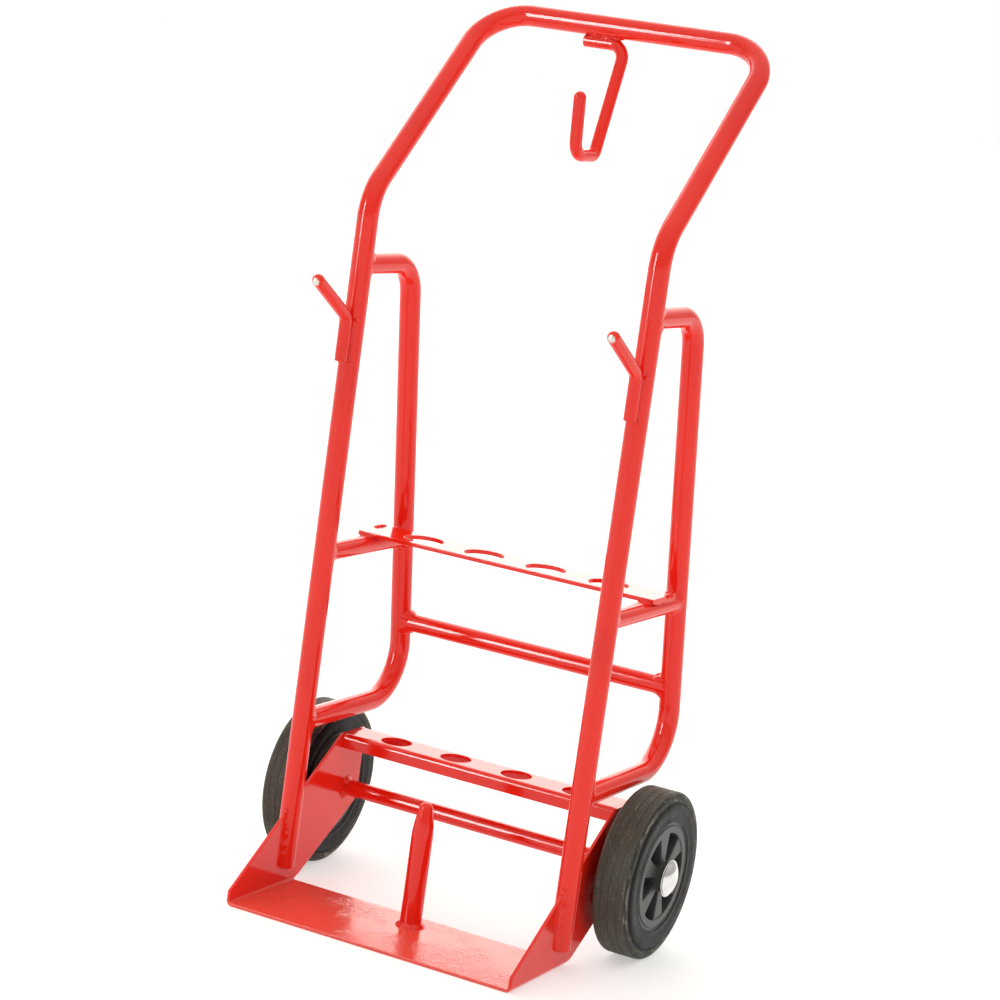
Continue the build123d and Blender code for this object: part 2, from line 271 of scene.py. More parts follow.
class Wire:
    """A shader socket that adds its own nodes when it is used in arithmetic."""

    def __init__(self, tree, socket=None):
        self.tree = tree
        self.socket = socket

    def node(self, kind, options=None, output=0, **inputs):
        """Adds a node: its options first, then values or links by socket name or number."""
        made = self.tree.nodes.new(kind)
        for key, value in (options or {}).items():
            setattr(made, key, value)
        for key, value in inputs.items():
            place = int(key[1:]) if key[0] == "i" and key[1:].isdigit() else key.replace("_", " ")
            socket = made.inputs[place]
            if isinstance(value, Wire):
                self.tree.links.new(value.socket, socket)
            elif hasattr(value, "__len__") and len(value) == 3 and socket.type == "RGBA":
                socket.default_value = (*value, 1)
            else:
                socket.default_value = value
        return Wire(self.tree, made.outputs[output])

    def maths(self, operation, *values):
        inputs = {f"i{n}": value for n, value in enumerate(values)}
        return self.node("ShaderNodeMath", {"operation": operation}, **inputs)

    def __add__(self, other):
        return self.maths("ADD", self, other)

    def __sub__(self, other):
        return self.maths("SUBTRACT", self, other)

    def __rsub__(self, other):
        return self.maths("SUBTRACT", other, self)

    def __mul__(self, other):
        return self.maths("MULTIPLY", self, other)

    __radd__ = __add__
    __rmul__ = __mul__

    def power(self, exponent):
        return self.maths("POWER", self, exponent)

    def fade(self, start, stop):
        """0 at start and 1 at stop, with soft ends."""
        return self.node("ShaderNodeMapRange", {"interpolation_type": "SMOOTHSTEP"},
                         Value=self, From_Min=start, From_Max=stop)

    def mix(self, first, second):
        """Blend of two colours, with this wire as the share of the second."""
        return self.node("ShaderNodeMix", {"data_type": "RGBA"}, output=2,
                         i0=self, i6=first, i7=second)

    def noise(self, scale, detail=2.0, roughness=0.5):
        """Cloudy pattern on a position, from 0 to 1."""
        return self.node("ShaderNodeTexNoise", Vector=self, Scale=scale, Detail=detail,
                         Roughness=roughness)

    def specks(self, scale, size):
        """Scattered dots on a position: 1 inside a dot, 0 outside."""
        far = self.node("ShaderNodeTexVoronoi", Vector=self, Scale=scale)
        return 1.0 - far.fade(size * 0.6, size)

    def axis(self, letter):
        """One coordinate of a position."""
        return self.node("ShaderNodeSeparateXYZ", output="XYZ".index(letter), Vector=self)

    def distance_to(self, point):
        return self.node("ShaderNodeVectorMath", {"operation": "DISTANCE"}, output=1,
                         i0=self, i1=tuple(point))


class Finish:
    """A new material with a principled shader, a wire for positions and a place for bumps."""

    def __init__(self, name, **constants):
        self.material = bpy.data.materials.new(name)
        self.material.use_nodes = True
        tree = self.material.node_tree
        self.shader = tree.nodes["Principled BSDF"]
        self.start = Wire(tree)
        self.at = self.start.node("ShaderNodeTexCoord", output=3)
        for key, value in constants.items():
            self.shader.inputs[key.replace("_", " ")].default_value = value
        self.normal = None

    def feed(self, **links):
        for key, wire in links.items():
            wire.tree.links.new(wire.socket, self.shader.inputs[key.replace("_", " ")])

    def bump(self, height, depth):
        """Adds relief of the given depth in metres on top of any relief before it."""
        before = {"Normal": self.normal} if self.normal else {}
        self.normal = self.start.node(
            "ShaderNodeBump", Height=height, Distance=depth, Strength=1.0, **before)
        self.feed(Normal=self.normal)


def red_paint(name, bare_at=None, gritty=False):
    """Glossy red powder coat, with orange peel and small unevenness."""
    look = settings().finishes
    finish = Finish(name, IOR=1.47)
    at = finish.at
    clouds = at.noise(7.0, 3.0)
    base = clouds.fade(0.35, 0.75).mix(tuple(look.paint), tuple(look.paint_deep))
    pits = at.specks(95.0, 0.055) * at.noise(14.0, 2.0).fade(0.50, 0.62)
    base = (0.8 * pits).mix(base, tuple(look.pit))
    rough = 0.085 + 0.07 * at.noise(24.0, 4.0)
    finish.bump(at.noise(46.0, 2.0), 0.045 * MM)
    finish.bump(at.noise(330.0, 2.0), 0.008 * MM)
    if gritty:
        flat = 1.0 - at.axis("Z").fade(4.5 * MM, 7.0 * MM)
        patchy = at.noise(16.0, 3.0).fade(0.40, 0.62)
        grit = at.specks(230.0, 0.30) * patchy * flat
        blister = at.noise(150.0, 4.0, 0.6).fade(0.46, 0.74) * patchy
        # Painted reflection: the flat floor of the toe plate is tinted paler and pinker, standing
        # in for the bright backdrop it mirrors.
        base = (0.12 * flat).mix(base, tuple(look.floor_sheen))
        base = (0.55 * grit).mix(base, tuple(look.pit))
        rough = rough + flat * (0.05 + 0.07 * patchy)
        finish.bump(at.noise(60.0, 4.0, 0.6) * flat, 0.16 * MM)
        finish.bump(blister * flat, 0.34 * MM)
        finish.bump(grit, 0.12 * MM)
    if bare_at is None:
        finish.feed(Roughness=rough, Base_Color=base)
        return finish.material
    ragged = at.noise(420.0, 5.0, 0.75)
    patch = at.distance_to(bare_at) + 8.0 * MM * (ragged - 0.5)
    bare = 1.0 - patch.fade(4.2 * MM, 5.2 * MM)
    finish.bump(1.0 - bare, 0.12 * MM)
    finish.feed(Base_Color=bare.mix(base, tuple(look.bare_steel)),
                Roughness=rough + bare * 0.30 * ragged, Metallic=bare)
    return finish.material


def tyre_rubber(axis_point):
    """Solid rubber with moulding lines, dusty at the shoulders and scuffed on the tread."""
    look = settings().finishes
    finish = Finish("tyre_rubber", IOR=1.5, Specular_IOR_Level=0.17)
    at = finish.at
    y, z = at.axis("Y") - axis_point.y, at.axis("Z") - axis_point.z
    radius = (y.power(2.0) + z.power(2.0)).power(0.5)
    shoulder = radius.fade(88.0 * MM, 91.0 * MM) * (1.0 - radius.fade(96.5 * MM, 99.0 * MM))
    tread = radius.fade(97.0 * MM, 99.0 * MM)
    round_angle = y.maths("ARCTAN2", y, z)
    wrapped = at.node("ShaderNodeCombineXYZ", X=round_angle * 2.4, Y=radius * 130.0,
                      Z=at.axis("X") * 170.0)
    streaks = wrapped.noise(1.6, 6.0, 0.7).fade(0.48, 0.64)
    grime = at.noise(70.0, 6.0, 0.7).fade(0.44, 0.68)
    fine = at.noise(520.0, 3.0, 0.7).fade(0.44, 0.70)
    dust = shoulder * (0.14 + 2.2 * streaks) * (0.40 + 0.60 * fine)
    dust = dust + tread * (0.30 + 0.7 * streaks * fine + 0.25 * grime * fine)
    dust = dust + at.specks(75.0, 0.06) * 0.5
    dust = dust + 0.05 * at.noise(30.0, 5.0).fade(0.5, 0.8)
    finish.feed(Base_Color=dust.mix(tuple(look.rubber), tuple(look.dust)),
                Roughness=0.40 + 0.34 * dust + 0.10 * grime)
    rings = radius.maths("SINE", radius * (2.0 * math.pi / (1.3 * MM)))
    band = radius.fade(82.5 * MM, 83.5 * MM) * (1.0 - radius.fade(87.0 * MM, 87.8 * MM))
    finish.bump(rings * band, 0.22 * MM)
    finish.bump(at.noise(900.0, 3.0, 0.6), 0.05 * MM)
    finish.bump(grime, 0.10 * MM)
    return finish.material


def rim_plastic(name):
    """Moulded black plastic with a fine satin grain and faint flow marks."""
    look = settings().finishes
    finish = Finish(name, IOR=1.5)
    at = finish.at
    flow = at.noise(16.0, 4.0)
    dust = at.noise(240.0, 4.0, 0.7).fade(0.52, 0.74) * 0.16
    finish.feed(Base_Color=dust.mix(tuple(look.plastic), tuple(look.dust)),
                Roughness=0.33 + 0.16 * flow)
    finish.bump(at.noise(1500.0, 2.0), 0.02 * MM)
    finish.bump(flow, 0.25 * MM)
    return finish.material


def plain_metal(name, tone, rough, scratch):
    """Plated metal with a fine scratched grain and faint cloudiness."""
    finish = Finish(name, Metallic=1.0)
    at = finish.at
    clouds = at.noise(70.0, 4.0)
    grain = at.noise(1400.0, 3.0, 0.7)
    dim = tuple(0.82 * c for c in tone)
    finish.feed(Base_Color=clouds.fade(0.3, 0.8).mix(tuple(tone), dim),
                Roughness=rough + 0.10 * clouds * grain)
    finish.bump(grain, scratch)
    return finish.material


def bush_nylon():
    """Natural nylon, slightly cloudy."""
    look = settings().finishes
    finish = Finish("bush_nylon", IOR=1.53)
    at = finish.at
    clouds = at.noise(120.0, 3.0)
    finish.feed(Base_Color=clouds.mix(tuple(look.nylon), tuple(0.8 * c for c in look.nylon)),
                Roughness=0.38 + 0.15 * clouds)
    finish.bump(at.noise(1600.0, 2.0), 0.01 * MM)
    return finish.material


def shared(name, make, *given):
    """The material of that name, made the first time it is asked for."""
    name = f"{name}_finish"
    return bpy.data.materials.get(name) or make(name, *given)


# ---- mesh helpers

def spread(start, stop, count):
    """Evenly spaced values from start to stop, both included."""
    return [start + (stop - start) * k / count for k in range(count + 1)]


def quarter(count, first=1):
    """Angles that divide a right angle, the last of them the right angle itself."""
    return [math.pi / 2 * k / count for k in range(first, count + 1)]


def pairs(items, closed=False):
    """Each item with the next one and, if closed, the last with the first."""
    return list(zip(items, items[1:])) + ([(items[-1], items[0])] if closed else [])


def strip(bm, first, second, closed=False):
    """Quads between two rows of vertices."""
    for (a, b), (c, d) in zip(pairs(first, closed), pairs(second, closed)):
        bm.faces.new((a, b, d, c))


def curve(start, bow, stop, t):
    """Point on a quadratic curve that bow pulls out of the straight line."""
    return start * (1 - t) ** 2 + bow * 2 * t * (1 - t) + stop * t ** 2


class Station:
    """One ring of a skin: centre, direction and radius, and where it lies in a bend.

    Inside a bend, inward points to the bend's centre and share runs from 0 to 1 along it.
    """

    def __init__(self, at, along, radius, inward=None, share=0.0):
        self.at, self.along, self.radius = Vector(at), Vector(along).normalized(), radius
        self.inward, self.share = inward, share


def bent_path(points, radii, radius, run_step=None):
    """Stations along straight runs and tangent arcs."""
    points = [Vector(p) for p in points]
    stations = [Station(points[0], points[1] - points[0], radius)]
    for i in range(1, len(points) - 1):
        back = (points[i - 1] - points[i]).normalized()
        on = (points[i + 1] - points[i]).normalized()
        turn = math.pi - back.angle(on)
        reach = radii[i - 1] * math.tan(turn / 2)
        start = points[i] + back * reach
        middle = (back + on).normalized()
        hub = points[i] + middle * (radii[i - 1] / math.cos(turn / 2))
        hinge = (-back).cross(on).normalized()
        count = max(3, math.ceil(turn / ARC_STEP))
        for k in range(count + 1):
            spin = Quaternion(hinge, turn * k / count)
            at = hub + spin @ (start - hub)
            inward = (hub - at).normalized()
            stations.append(Station(at, spin @ (-back), radius, inward, k / count))
    stations.append(Station(points[-1], points[-1] - points[-2], radius))
    if run_step:
        stations = divided(stations, run_step)
    return stations


def divided(stations, step):
    """The same stations with more put into the long straight runs."""
    out = [stations[0]]
    for this in stations[1:]:
        last = out[-1]
        gap = (this.at - last.at).length
        count = max(1, math.ceil(gap / step))
        for k in range(1, count):
            out.append(Station(last.at.lerp(this.at, k / count), this.at - last.at, this.radius))
        out.append(this)
    return out


def round_tip(station, count=9):
    """Stations that close a bar with a hemisphere beyond the given station."""
    r = station.radius
    return [Station(station.at + station.along * r * math.sin(t), station.along,
                    r * math.cos(t)) for t in quarter(count)]


def cut_end(station, chamfer):
    """Stations that close a bar with a flat face and a small round at its edge."""
    at, along, r = station.at, station.along, station.radius
    out = [Station(at - along * chamfer * (1 - math.sin(t)), along, r - chamfer * (1 - math.cos(t)))
           for t in quarter(4)]
    return out + [Station(at, along, r * 0.5), Station(at, along, 0.0)]


def cut_start(station, chamfer):
    """Stations that open a bar with the same flat face."""
    out = cut_end(Station(station.at, -station.along, station.radius), chamfer)[::-1]
    for s in out:
        s.along = station.along
    return out


def skin(bm, stations, around, closed=False, shape=None):
    """Rings of vertices at the stations, joined by quads, with a face over each open end."""
    along = stations[0].along
    side = along.orthogonal().normalized()
    if abs(along.dot(Z)) < 0.9:
        side = along.cross(Z).normalized()
    rings = []
    for s in stations:
        side = (along.rotation_difference(s.along) @ side).normalized()
        side = (side - s.along * side.dot(s.along)).normalized()
        along = s.along
        other = along.cross(side)
        ring = []
        for k in range(around):
            turn = 2 * math.pi * k / around
            out = side * math.cos(turn) + other * math.sin(turn)
            r = s.radius + (shape(s, out) if shape else 0.0)
            ring.append(bm.verts.new(s.at + out * r))
        rings.append(ring)
    for a, b in pairs(rings, closed):
        strip(bm, a, b, closed=True)
    if not closed:
        for ring, station in ((rings[0], stations[0]), (rings[-1], stations[-1])):
            if station.radius > MERGE:
                bm.faces.new(ring)


def lathe(bm, origin, direction, profile, around, closed=False):
    """A body turned about a line: profile holds (distance along, radius) pairs."""
    stations = [Station(origin + direction * a, direction, r) for a, r in profile]
    skin(bm, stations, around, closed)


def rounded(profile, radius, count=4, closed=False):
    """A polyline profile with each inner corner replaced by a small arc, as far as it fits."""
    points = [Vector((a, r)) for a, r in profile]
    out = []
    last = len(points) - 1
    for i, p in enumerate(points):
        if not closed and i in (0, last):
            out.append(tuple(p))
            continue
        before, after = points[i - 1], points[(i + 1) % len(points)]
        reach = min(radius, (before - p).length * 0.45, (after - p).length * 0.45)
        a = p + (before - p).normalized() * reach
        b = p + (after - p).normalized() * reach
        out += [tuple(curve(a, p, b, t)) for t in spread(0, 1, count)]
    return out


def soften_edges(bm, width, count=3):
    """Rounds every edge sharper than the shading limit."""
    bmesh.ops.recalc_face_normals(bm, faces=bm.faces)
    edges = [e for e in bm.edges if e.is_manifold and e.calc_face_angle(0) > SHARP_ANGLE]
    bmesh.ops.bevel(bm, geom=edges, offset=width, segments=count, profile=0.5,
                    affect="EDGES", clamp_overlap=True)


def add_piece(name, bm, material, body="frame", replaces=()):
    """Turns the mesh into an object that rides on its body and takes its finish."""
    bmesh.ops.remove_doubles(bm, verts=bm.verts, dist=MERGE)
    bmesh.ops.recalc_face_normals(bm, faces=bm.faces)
    for face in bm.faces:
        face.smooth = True
    for edge in bm.edges:
        edge.smooth = edge.calc_face_angle(0) < SHARP_ANGLE
    mesh = bpy.data.meshes.new(name)
    bm.to_mesh(mesh)
    bm.free()
    mesh.materials.append(material)
    obj = bpy.data.objects.new(name, mesh)
    bpy.context.scene.collection.objects.link(obj)
    even = obj.modifiers.new("even_normals", "WEIGHTED_NORMAL")
    even.keep_sharp = True
    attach(obj, body)
    if replaces:
        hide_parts(*replaces)


def add_painted(name, bm, *replaces, gritty=False):
    """Adds a piece in the red paint of the frame, with grit where it lies flat if asked."""
    if gritty:
        paint = shared("gritty_paint", red_paint, None, True)
    else:
        paint = shared("red_paint", red_paint)
    add_piece(name, bm, paint, replaces=replaces)


def refinish(node, material):
    """Gives a carried-over node its finish."""
    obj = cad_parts[node]
    if not obj.material_slots:
        obj.data.materials.append(material)
    for slot in obj.material_slots:
        slot.material = material


def wobble(point, scale, seed=0.0):
    """Smooth repeatable unevenness from -1 to 1."""
    return noise.noise(point * scale + Vector((seed, 3.1 * seed, 7.7)))


# ---- tubes

def bend_marks(depth):
    """Shape of a pressed bend: slightly flat outside, with faint wrinkles inside."""
    def shape(station, out):
        if station.inward is None:
            return 0.0
        facing = out.dot(station.inward)
        swell = math.sin(math.pi * station.share)
        flat = -0.35 * MM * swell * max(0.0, -facing) ** 3
        wrinkle = math.sin(station.share * math.pi * 5) * max(0.0, facing) ** 6
        return flat - depth * swell * (0.5 + 0.5 * wrinkle) * max(0.0, facing) ** 4
    return shape


def open_tube_ends(stations, wall, depth):
    """Stations that turn a tube's wall inward at its first end and run back up inside."""
    first = stations[0]
    inner = first.radius - wall
    lip = [Station(first.at + first.along * depth, first.along, inner),
           Station(first.at + first.along * 0.4 * MM, first.along, inner),
           Station(first.at, first.along, inner + 0.4 * MM),
           Station(first.at, first.along, first.radius - 0.4 * MM),
           Station(first.at + first.along * 0.4 * MM, first.along, first.radius)]
    return lip + stations[1:]


class HANDTRUCK_OT_main_tube(Operator):
    """Build the bent frame tube with its knees and handle loop"""
    bl_idname = "hand_truck.main_tube"
    bl_label = "Main tube"

    def execute(self, context):
        sizes, p = settings().tubes, Places()
        x, r = p.leg_x, sizes.radius
        points = [(-x, p.leg_y, p.foot_z), (-x, p.leg_y, p.knee_z), (-x, p.handle_y, p.handle_z),
                  (x, p.handle_y, p.handle_z), (x, p.leg_y, p.knee_z), (x, p.leg_y, p.foot_z)]
        radii = [sizes.knee_radius, sizes.corner_radius, sizes.corner_radius, sizes.knee_radius]
        path = bent_path(points, radii, r, 40 * MM)
        path = open_tube_ends(path, sizes.wall, 30 * MM)
        back = [Station(s.at, -s.along, s.radius, s.inward, 1 - s.share) for s in reversed(path)]
        back = open_tube_ends(back, sizes.wall, 30 * MM)
        bm = bmesh.new()
        skin(bm, back, sizes.around, shape=bend_marks(0.35 * MM))
        add_painted("frame_tube", bm, "main_tube")
        return {"FINISHED"}


class HANDTRUCK_OT_braces(Operator):
    """Build the rear braces, the side struts and the cross bar"""
    bl_idname = "hand_truck.braces"
    bl_label = "Braces and cross tubes"

    def execute(self, context):
        sizes, p = settings().tubes, Places()
        radii = [sizes.brace_low_radius, sizes.brace_top_radius]
        for name, side in SIDES.items():
            x = side * p.leg_x
            points = [(x, p.leg_y, p.brace_low_z), (x, p.brace_low_y, p.brace_low_z),
                      (x, p.brace_top_y, p.brace_top_z), (x, p.leg_y, p.brace_top_z)]
            bm = bmesh.new()
            skin(bm, bent_path(points, radii, sizes.radius, 40 * MM), sizes.around,
                 shape=bend_marks(0.4 * MM))
            add_painted(f"brace_{name}", bm, f"rear_brace_{name}")
            rear = p.brace_at(side, p.strut_z)
            bm = bmesh.new()
            run = bent_path([(x, p.leg_y, p.strut_z), rear], [], sizes.cross_radius, 30 * MM)
            skin(bm, run, sizes.around)
            add_painted(f"strut_{name}", bm, f"side_strut_{name}")
        ends = [p.brace_at(side, p.crossbar.z) for side in (-1, 1)]
        bm = bmesh.new()
        skin(bm, bent_path(ends, [], sizes.cross_radius, 30 * MM), sizes.around)
        add_painted("cross_bar", bm, "rear_crossbar")
        return {"FINISHED"}


# ---- sheet metal

def sheet(bm, outer, inner):
    """A folded sheet from two matching grids of points, with walls round its border."""
    grids = [[[bm.verts.new(v) for v in row] for row in grid] for grid in (outer, inner)]
    for grid in grids:
        for a, b in pairs(grid):
            strip(bm, a, b)
    top, under = grids
    border = [(0, k) for k in range(len(top[0]))]
    border += [(i, len(top[0]) - 1) for i in range(1, len(top))]
    border += [(len(top) - 1, k) for k in range(len(top[0]) - 2, -1, -1)]
    border += [(i, 0) for i in range(len(top) - 2, 0, -1)]
    for (i, k), (m, n) in pairs(border, closed=True):
        bm.faces.new((top[i][k], top[m][n], under[m][n], under[i][k]))


class HANDTRUCK_OT_toe_plate(Operator):
    """Build the folded toe plate with its two cheeks"""
    bl_idname = "hand_truck.toe_plate"
    bl_label = "Toe plate"

    def execute(self, context):
        sizes = settings().plates
        low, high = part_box("toe_plate")
        half, fold, t = high.x, sizes.toe_fold, sizes.thickness
        rack_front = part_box("lower_rack")[0].y
        top = high.z

        def front(z):
            if z <= sizes.cheek_front:
                return low.y
            share = (z - sizes.cheek_front) / (top - sizes.cheek_front)
            return low.y + share * (rack_front - low.y)

        def rear(z):
            share = min(1.0, z / sizes.cheek_kink)
            corner = 1.6 * MM * max(0.0, 1 - z / (9 * MM)) ** 2
            return sizes.toe_rear + share * (high.y - sizes.toe_rear) - corner

        heights = [sizes.cheek_front, 50 * MM, sizes.cheek_kink, 110 * MM, 140 * MM, top]
        side = [((half, z), (half - t, z)) for z in reversed(heights)]
        bend = [((half - fold + fold * math.cos(a), fold - fold * math.sin(a)),
                 (half - fold + (fold - t) * math.cos(a), fold - (fold - t) * math.sin(a)))
                for a in quarter(8, 0)]
        flat = [((half - fold) * k / 6, 0) for k in range(5, 0, -1)]
        flat = [(point, (point[0], t)) for point in flat]
        left = side + bend + flat + [((0, 0), (0, t))]
        section = [((-a[0], a[1]), (-b[0], b[1])) for a, b in left] + left[-2::-1]

        def grid(which):
            rows = []
            for pair in section:
                x, z = pair[which]
                edge_z = pair[0][1]
                rows.append([(x, y, z) for y in spread(front(edge_z), rear(edge_z), SHORT_CELLS)])
            return rows

        bm = bmesh.new()
        sheet(bm, grid(0), grid(1))
        soften_edges(bm, sizes.edge)
        add_painted("toe_plate_sheet", bm, "toe_plate", gritty=True)
        return {"FINISHED"}


def rack_plan(half_length, half_depth, hole, pitch):
    """Plan of a strip with a row of holes: rings round each hole, and columns beyond them."""
    w, d = pitch / 2, half_depth
    border = [(x, d) for x in spread(-w, w, LONG_CELLS)[:-1]]
    border += [(w, y) for y in spread(d, -d, SHORT_CELLS)[:-1]]
    border += [(x, -d) for x in spread(w, -w, LONG_CELLS)[:-1]]
    border += [(-w, y) for y in spread(-d, d, SHORT_CELLS)[:-1]]
    cells = []
    for i in range(RACK_HOLES):
        x = (i - (RACK_HOLES - 1) / 2) * pitch
        rings = []
        for share in (0.0, 0.12, 0.5, 1.0):
            ring = []
            for bx, by in border:
                turn = math.atan2(by, bx)
                hx, hy = hole * math.cos(turn), hole * math.sin(turn)
                ring.append((x + hx + (bx - hx) * share, hy + (by - hy) * share))
            rings.append(ring)
        cells.append(rings)
    end = RACK_HOLES / 2 * pitch
    tails = [[[(s * x, y) for y in spread(d, -d, SHORT_CELLS)]
              for x in (end, (end + half_length) / 2, half_length)] for s in (-1, 1)]
    return cells, tails


class Rack:
    """Mesh of a rack, with one vertex for each place, that starts as its perforated flat."""

    def __init__(self, node, hole, fold, under):
        self.low, self.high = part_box(node)
        self.middle = (self.low.y + self.high.y) / 2
        self.flat = (self.high.y - self.low.y) / 2 - fold
        self.bm = bmesh.new()
        self.made = {}
        cells, tails = rack_plan(self.high.x, self.flat, hole / 2, settings().plates.hole_pitch)
        for z in (self.high.z, under):
            for rings in cells:
                for a, b in pairs(rings):
                    self.join([(*p, z) for p in a], [(*p, z) for p in b], closed=True)
            for columns in tails:
                for a, b in pairs(columns):
                    self.join([(*p, z) for p in a], [(*p, z) for p in b])
        for rings in cells:
            self.join([(*p, self.high.z) for p in rings[0]], [(*p, under) for p in rings[0]],
                      closed=True)
        self.stations = sorted({round(x, 6) for x, y, z in self.made
                                if abs(abs(y) - self.flat) < MERGE})

    def vert(self, place):
        key = tuple(round(c, 6) for c in place)
        if key not in self.made:
            x, y, z = place
            self.made[key] = self.bm.verts.new((x, self.middle + y, z))
        return self.made[key]

    def join(self, first, second, closed=False):
        """Quads between two rows of places."""
        strip(self.bm, [self.vert(p) for p in first], [self.vert(p) for p in second], closed)

    def along(self, first, second):
        """Quads along the rack between two lines, each given by its Y and Z."""
        self.join([(x, *first) for x in self.stations], [(x, *second) for x in self.stations])

    def end(self, x, under):
        """Face at the end of the flat, down to the given height."""
        ys = spread(-self.flat, self.flat, SHORT_CELLS)
        self.join([(x, y, self.high.z) for y in ys], [(x, y, under) for y in ys])

    def finish(self, name, node):
        soften_edges(self.bm, settings().plates.edge)
        add_painted(name, self.bm, node, gritty=True)


class HANDTRUCK_OT_racks(Operator):
    """Build the two racks that hold chisels in their round holes"""
    bl_idname = "hand_truck.racks"
    bl_label = "Racks"

    def execute(self, context):
        sizes = settings().plates
        low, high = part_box("upper_rack")
        rack = Rack("upper_rack", sizes.upper_hole, 0.0, low.z)
        for s in (-1, 1):
            rack.along((s * rack.flat, high.z), (s * rack.flat, low.z))
            rack.end(s * high.x, low.z)
        rack.finish("upper_rack_strip", "upper_rack")

        low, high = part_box("lower_rack")
        t, fold = sizes.thickness, sizes.lower_fold
        rack = Rack("lower_rack", sizes.lower_hole, fold, high.z - t)
        hub_z = high.z - fold
        ends = (rack.stations[0], rack.stations[-1])
        for s in (-1, 1):
            faces = []
            for bend in (fold, fold - t):
                depth = s * (rack.flat + bend)
                faces.append([(s * rack.flat, hub_z + bend)]
                             + [(s * (rack.flat + bend * math.sin(a)), hub_z + bend * math.cos(a))
                                for a in quarter(7)]
                             + [(depth, low.z + 4 * MM), (depth, low.z)])
            for lines in faces:
                for a, b in pairs(lines):
                    rack.along(a, b)
            outer, inner = faces
            rack.along(outer[-1], inner[-1])
            for x in ends:
                rack.join([(x, *p) for p in outer], [(x, *p) for p in inner])
        for x in ends:
            rack.end(x, high.z - t)
        rack.finish("lower_rack_channel", "lower_rack")
        return {"FINISHED"}


# ---- peg, hooks and axle

class HANDTRUCK_OT_peg(Operator):
    """Build the standing peg with its swaged blunt tip"""
    bl_idname = "hand_truck.peg"
    bl_label = "Peg"

    def execute(self, context):
        bars, sizes = settings().bars, settings().tubes
        foot = centre("peg")
        foot.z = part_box("peg")[0].z
        half = half_size("peg")
        r, tip, height = half.x, bars.peg_tip, 2 * half.z
        shoulder = height - bars.peg_taper
        nose = height - tip
        profile = [(0.0, r), (shoulder * 0.5, r), (shoulder - 4 * MM, r)]
        start, bow = Vector((shoulder - 3 * MM, r)), Vector((shoulder + 10 * MM, r - 0.6 * MM))
        profile += [tuple(curve(start, bow, Vector((nose, tip)), t)) for t in spread(0, 1, 10)]
        blunt = 0.9
        profile += [(nose + tip * math.sin(t) ** blunt, tip * math.cos(t) ** blunt)
                    for t in quarter(9)]
        bm = bmesh.new()
        lathe(bm, foot, Z, profile, sizes.around)
        add_painted("peg_tube", bm, "peg")
        return {"FINISHED"}


class HANDTRUCK_OT_hooks(Operator):
    """Build the two side hooks and the top hook"""
    bl_idname = "hand_truck.hooks"
    bl_label = "Hooks"

    def execute(self, context):
        bars, p = settings().bars, Places()
        r = bars.hook_radius
        for name, side in SIDES.items():
            low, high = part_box(f"side_hook_{name}")
            x = side * p.leg_x
            bend_z = low.z + bars.side_arm
            tip = Vector((x, low.y + r, high.z - r))
            points = [(x, p.hook_y, low.z), (x, p.hook_y, bend_z), tip]
            path = bent_path(points, [bars.side_bend], r, 12 * MM)
            bm = bmesh.new()
            skin(bm, cut_start(path[0], 0.7 * MM) + path[1:] + round_tip(path[-1]), 40)
            bare_at = tip + Vector((0.05 * r, -0.97 * r, -0.25 * r))
            worn = red_paint(f"worn_paint_{name}", bare_at)
            add_piece(f"hook_{name}", bm, worn, replaces=[f"side_hook_{name}"])
        low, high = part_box("top_hook")
        x = high.x - r
        back_y = p.handle_y - bars.top_back_lean
        front_y = back_y - bars.top_gap
        points = [(low.x, p.handle_y, p.top_foot_z), (x, p.handle_y, p.top_foot_z),
                  (x, back_y, low.z + r), (x, front_y, low.z + r),
                  (x, low.y + r, low.z + r + bars.top_front_arm)]
        path = bent_path(points, [bars.top_bend, bars.top_elbow, bars.top_bend], r, 12 * MM)
        bm = bmesh.new()
        skin(bm, cut_start(path[0], 0.7 * MM) + path[1:] + round_tip(path[-1]), 40)
        add_painted("hook_top", bm, "top_hook")
        return {"FINISHED"}


class HANDTRUCK_OT_axle(Operator):
    """Build the axle bar with chamfered ends"""
    bl_idname = "hand_truck.axle"
    bl_label = "Axle"

    def execute(self, context):
        half, middle, chamfer = half_size("axle"), centre("axle"), 1.0 * MM
        start, stop = (Station((x, middle.y, middle.z), X, half.z) for x in (-half.x, half.x))
        foot = cut_start(start, chamfer)
        runs = divided([foot[-1], Station(stop.at - X * chamfer, X, half.z)], 30 * MM)
        bm = bmesh.new()
        skin(bm, foot + runs[1:] + cut_end(stop, chamfer), 48)
        add_painted("axle_bar", bm, "axle")
        return {"FINISHED"}


# ---- welds

